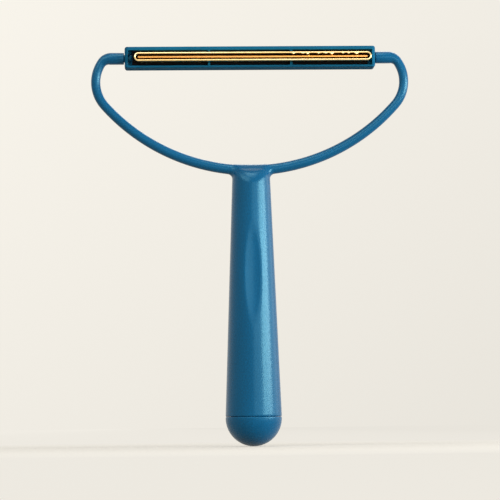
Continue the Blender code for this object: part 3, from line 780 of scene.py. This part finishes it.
def crimp(x, z, inset):
    """How far the inner edge of the upper run is pressed down, in the loop's right third."""
    if z <= 0.0 or inset <= RING_WALL / 2.0:
        return 0.0
    drop = 0.0
    for i in range(CRIMP_COUNT):
        middle = CRIMP_FIRST_X + (i + waver(i, *PLACE_WAVER)) * CRIMP_PITCH
        share = (x - middle) / (CRIMP_HALF_LENGTH * (1.0 + waver(i, *LENGTH_WAVER)))
        depth = CRIMP_DEPTH * (1.0 - DEPTH_WAVER[0] + waver(i, *DEPTH_WAVER))
        if abs(share) < 1.0:
            drop += depth * (1.0 - share**2) ** 2
    return drop


def make_ring(place, side, material):
    """A thin wall round the loop, with a rounded rim."""
    rim_y = RING_FRONT - RIM_RADIUS
    section = [(0.0, RING_BACK)]
    section += arc((RIM_RADIUS, rim_y), RIM_RADIUS, math.pi, QUARTER, RIM_STEPS)
    section += arc((RING_WALL - RIM_RADIUS, rim_y), RIM_RADIUS, QUARTER, 0.0, RIM_STEPS)
    section.append((RING_WALL, RING_BACK))
    bm = bmesh.new()
    rings = []
    for inset, y in section:
        rings.append(add_ring(bm, [(RING_CENTRE_X + x, side * y, BRASS_Z + z - crimp(x, z, inset))
                                   for x, z in stadium(inset)]))
    skin(bm, rings + rings[:1])
    new_piece("ring_" + place, bm, material, "head", ["blade_ring_" + place])


def make_strip(place, side, material):
    """A flat strip with two rounded front edges."""
    half = STRIP_THICKNESS / 2.0
    edge_y = STRIP_FRONT - STRIP_EDGE
    outline = [(STRIP_BACK, -half), (STRIP_BACK, half)]
    outline += arc((edge_y, half - STRIP_EDGE), STRIP_EDGE, QUARTER, 0.0, STRIP_EDGE_STEPS)
    outline += arc((edge_y, STRIP_EDGE - half), STRIP_EDGE, 0.0, -QUARTER, STRIP_EDGE_STEPS)
    end = STRIP_LENGTH / 2.0
    bm = bmesh.new()
    rings = [add_ring(bm, [(RING_CENTRE_X + x, side * y, BRASS_Z + z) for y, z in outline])
             for x in along(-end, end, STRIP_COLUMNS) + [end]]
    skin(bm, rings)
    bm.faces.new(rings[0])
    bm.faces.new(rings[-1])
    new_piece("strip_" + place, bm, material, "head", ["middle_blade_" + place])


# Shader helpers

def new_material(name):
    material = bpy.data.materials.new(name)
    material.use_nodes = True
    return material, material.node_tree, material.node_tree.nodes["Principled BSDF"]


def noise(tree, scale, detail, stretch=(1.0, 1.0, 1.0)):
    """A noise in the object's own coordinates, stretched along its axes."""
    place = tree.nodes.new("ShaderNodeTexCoord")
    mapping = tree.nodes.new("ShaderNodeMapping")
    mapping.inputs["Scale"].default_value = stretch
    texture = tree.nodes.new("ShaderNodeTexNoise")
    texture.inputs["Scale"].default_value = scale
    texture.inputs["Detail"].default_value = detail
    tree.links.new(place.outputs["Object"], mapping.inputs["Vector"])
    tree.links.new(mapping.outputs["Vector"], texture.inputs["Vector"])
    return texture.outputs["Fac"]


def ramp(tree, value, positions, colours):
    """Colours that run into each other as a value passes their positions."""
    node = tree.nodes.new("ShaderNodeValToRGB")
    elements = node.color_ramp.elements
    elements[-1].position = positions[-1]
    elements[0].position = positions[0]
    for position in positions[1:-1]:
        elements.new(position)
    for element, colour in zip(elements, colours):
        element.color = (*colour, 1.0)
    tree.links.new(value, node.inputs["Fac"])
    return node.outputs["Color"]


def fade(tree, value, span, levels):
    """A number that runs from one level to the other as a value runs through a span."""
    node = tree.nodes.new("ShaderNodeMapRange")
    for name, number in zip(("From Min", "From Max", "To Min", "To Max"), (*span, *levels)):
        node.inputs[name].default_value = number
    tree.links.new(value, node.inputs["Value"])
    return node.outputs["Result"]


def combine(tree, operation, first, second):
    node = tree.nodes.new("ShaderNodeMath")
    node.operation = operation
    tree.links.new(first, node.inputs[0])
    tree.links.new(second, node.inputs[1])
    return node.outputs[0]


def axis_values(tree, place):
    """The X, Y and Z of a place or direction."""
    node = tree.nodes.new("ShaderNodeSeparateXYZ")
    tree.links.new(place, node.inputs[0])
    return node.outputs


def seen_rays(tree):
    """1 for the rays that look at a surface: camera, glossy and transmission rays."""
    path = tree.nodes.new("ShaderNodeLightPath").outputs
    looking = combine(tree, "MAXIMUM", path["Is Camera Ray"], path["Is Glossy Ray"])
    return combine(tree, "MAXIMUM", looking, path["Is Transmission Ray"])


def add_bump(tree, shader, value, depth):
    node = tree.nodes.new("ShaderNodeBump")
    node.inputs["Strength"].default_value = 1.0
    node.inputs["Distance"].default_value = depth
    tree.links.new(value, node.inputs["Height"])
    tree.links.new(node.outputs["Normal"], shader.inputs["Normal"])


# Materials

def moulded_plastic(name, colour, roughness, gloss):
    """Satin ABS: faint flow marks in the colour and a fine orange peel in the gloss."""
    material, tree, shader = new_material(name)
    shades = [tuple(part * level for part in colour)
              for level in (1.0 - FLOW_CONTRAST, 1.0 + FLOW_CONTRAST)]
    flow = noise(tree, FLOW_SCALE, FLOW_DETAIL, FLOW_STRETCH)
    tree.links.new(ramp(tree, flow, FLOW_STOPS, shades), shader.inputs["Base Color"])
    peel = noise(tree, PEEL_SCALE, PEEL_DETAIL)
    tree.links.new(fade(tree, peel, NOISE_SPAN, roughness), shader.inputs["Roughness"])
    add_bump(tree, shader, peel, PEEL_DEPTH)
    shader.inputs["Specular IOR Level"].default_value = gloss
    shader.inputs["Specular Tint"].default_value = GLOSS_TINT
    return material


def drawn_brass(name, colours, roughness):
    """Brass with fine streaks along X, from the drawing of the strip."""
    material, tree, shader = new_material(name)
    shader.inputs["Metallic"].default_value = 1.0
    streak = noise(tree, STREAK_SCALE, STREAK_DETAIL, STREAK_STRETCH)
    tree.links.new(ramp(tree, streak, STREAK_STOPS, colours), shader.inputs["Base Color"])
    tree.links.new(fade(tree, streak, NOISE_SPAN, roughness), shader.inputs["Roughness"])
    add_bump(tree, shader, streak, STREAK_DEPTH)
    return material


def matt_black(name):
    """Near-black with a fine grain and next to no gloss: painted shade on the blade carrier inside the
    head bar.
    """
    material, tree, shader = new_material(name)
    grain = noise(tree, GRAIN_SCALE, GRAIN_DETAIL)
    tree.links.new(ramp(tree, grain, NOISE_SPAN, BLACKS), shader.inputs["Base Color"])
    tree.links.new(fade(tree, grain, NOISE_SPAN, BLACK_ROUGHNESS), shader.inputs["Roughness"])
    add_bump(tree, shader, grain, GRAIN_DEPTH)
    shader.inputs["Specular IOR Level"].default_value = BLACK_GLOSS
    return material


def floor_paper():
    """Matt paper that takes the object's shadow and turns into an even glow further out.

    Rays that look at the floor see it paler than the light that it throws on the object.
    """
    material, tree, shader = new_material("floor_paper")
    shader.inputs["Roughness"].default_value = FLOOR_ROUGHNESS
    shader.inputs["Specular IOR Level"].default_value = FLOOR_GLOSS
    seen = seen_rays(tree)
    paper = tree.nodes.new("ShaderNodeVectorMath")
    paper.operation = "SCALE"
    paper.inputs[0].default_value = CREAM
    tree.links.new(fade(tree, seen, (0.0, 1.0), (BOUNCE_LEVEL, PAPER_LEVEL)), paper.inputs["Scale"])
    tree.links.new(paper.outputs["Vector"], shader.inputs["Base Color"])
    place = tree.nodes.new("ShaderNodeTexCoord").outputs["Object"]
    length = tree.nodes.new("ShaderNodeVectorMath")
    length.operation = "LENGTH"
    tree.links.new(place, length.inputs[0])
    away = length.outputs["Value"]
    sideways = fade(tree, axis_values(tree, place)["X"], FLOOR_X_SPAN, FLOOR_X_LEVELS)
    glow = tree.nodes.new("ShaderNodeEmission")
    glow.inputs["Color"].default_value = (*CREAM, 1.0)
    tree.links.new(combine(tree, "MULTIPLY", sideways, fade(tree, away, FADE_SPAN, GLOW_LEVELS)),
                   glow.inputs["Strength"])
    mix = tree.nodes.new("ShaderNodeMixShader")
    tree.links.new(combine(tree, "MULTIPLY", seen, fade(tree, away, FADE_SPAN, GLOW_SHARES)),
                   mix.inputs[0])
    tree.links.new(shader.outputs[0], mix.inputs[1])
    tree.links.new(glow.outputs[0], mix.inputs[2])
    tree.links.new(mix.outputs[0], tree.nodes["Material Output"].inputs["Surface"])
    return material


# Studio

def make_floor():
    """A wide disc just under the cap."""
    bm = bmesh.new()
    rings = [turned_ring(bm, radius, CAP_LOW.z - FLOOR_GAP, FLOOR_SIDES) for radius in FLOOR_RADII]
    cap_ring(bm, rings[0])
    skin(bm, rings)
    mesh = bpy.data.meshes.new("floor")
    bm.to_mesh(mesh)
    bm.free()
    mesh.materials.append(floor_paper())
    floor = add_object("floor", mesh)


def make_world():
    """A pale backdrop all round, a little darker to the right and downwards."""
    world = bpy.data.worlds.new("studio")
    bpy.context.scene.world = world
    world.use_nodes = True
    tree = world.node_tree
    background = tree.nodes["Background"]
    background.inputs["Color"].default_value = (*CREAM, 1.0)
    way = axis_values(tree, tree.nodes.new("ShaderNodeTexCoord").outputs["Generated"])
    level = combine(tree, "MULTIPLY", fade(tree, way["X"], BACKDROP_X_SPAN, BACKDROP_X_LEVELS),
                    fade(tree, way["Z"], BACKDROP_Z_SPAN, BACKDROP_Z_LEVELS))
    strength = tree.nodes.new("ShaderNodeMix")
    strength.data_type = "FLOAT"
    strength.inputs[2].default_value = SOFT_LIGHT
    tree.links.new(seen_rays(tree), strength.inputs[0])
    tree.links.new(level, strength.inputs[3])
    tree.links.new(strength.outputs[0], background.inputs["Strength"])


def add_lamp(name, place, target, size, radiance):
    """A softbox that the camera doesn't see, as bright from any distance."""
    width, height = size
    data = bpy.data.lights.new(name, "AREA")
    data.shape = "RECTANGLE"
    data.size = width
    data.size_y = height
    data.energy = radiance * math.pi * width * height
    lamp = add_object(name, data)
    lamp.location = place
    lamp.rotation_euler = (target - Vector(place)).to_track_quat("-Z", "Y").to_euler()
    lamp.visible_camera = False


def make_lamps():
    for name, (degrees, size, radiance) in LOW_LAMPS.items():
        turn = math.radians(degrees)
        place = (LOW_LAMP_AWAY * math.sin(turn), -LOW_LAMP_AWAY * math.cos(turn), LOW_LAMP_HEIGHT)
        add_lamp(name, place, Vector(), size, radiance)
    for name, (place, aim_z, size, radiance) in HIGH_LAMPS.items():
        add_lamp(name, place, aim_z * Z_AXIS, size, radiance)


def make_camera():
    data = bpy.data.cameras.new("camera")
    data.lens = CAMERA_LENS
    data.clip_start = CAMERA_CLIP_START
    camera = add_object("camera", data)
    look = (CAMERA_TARGET - CAMERA_PLACE).to_track_quat("-Z", "Y")
    camera.rotation_mode = "QUATERNION"
    camera.rotation_quaternion = look @ Quaternion(Z_AXIS, CAMERA_ROLL)
    camera.location = CAMERA_PLACE
    bpy.context.scene.camera = camera
    bpy.context.scene.view_settings.view_transform = "Standard"


def main():
    make_camera()
    make_floor()
    make_world()
    make_lamps()
    blue = moulded_plastic("blue_plastic", BLUE, BLUE_ROUGHNESS, BLUE_GLOSS)
    head_blue = moulded_plastic("head_plastic", HEAD_BLUE, HEAD_ROUGHNESS, HEAD_GLOSS)
    black = matt_black("black_plastic")
    brass = drawn_brass("brass", RING_BRASS, RING_ROUGHNESS)
    # Darker, more orange brass on the strips: painted shade inside the loops
    brass_painted_shade = drawn_brass("brass_painted_shade", STRIP_BRASS_PAINTED_SHADE, STRIP_ROUGHNESS)
    make_yoke(blue)
    make_cap(blue)
    for place, side in (("front", -1), ("rear", 1)):
        make_shell(place, side, head_blue)
        make_ring(place, side, brass)
        make_strip(place, side, brass_painted_shade)
    # The blade carrier is coloured near-black as painted shade inside the head bar
    frame["nodes"]["blade_carrier"].material_slots[0].material = black


main()
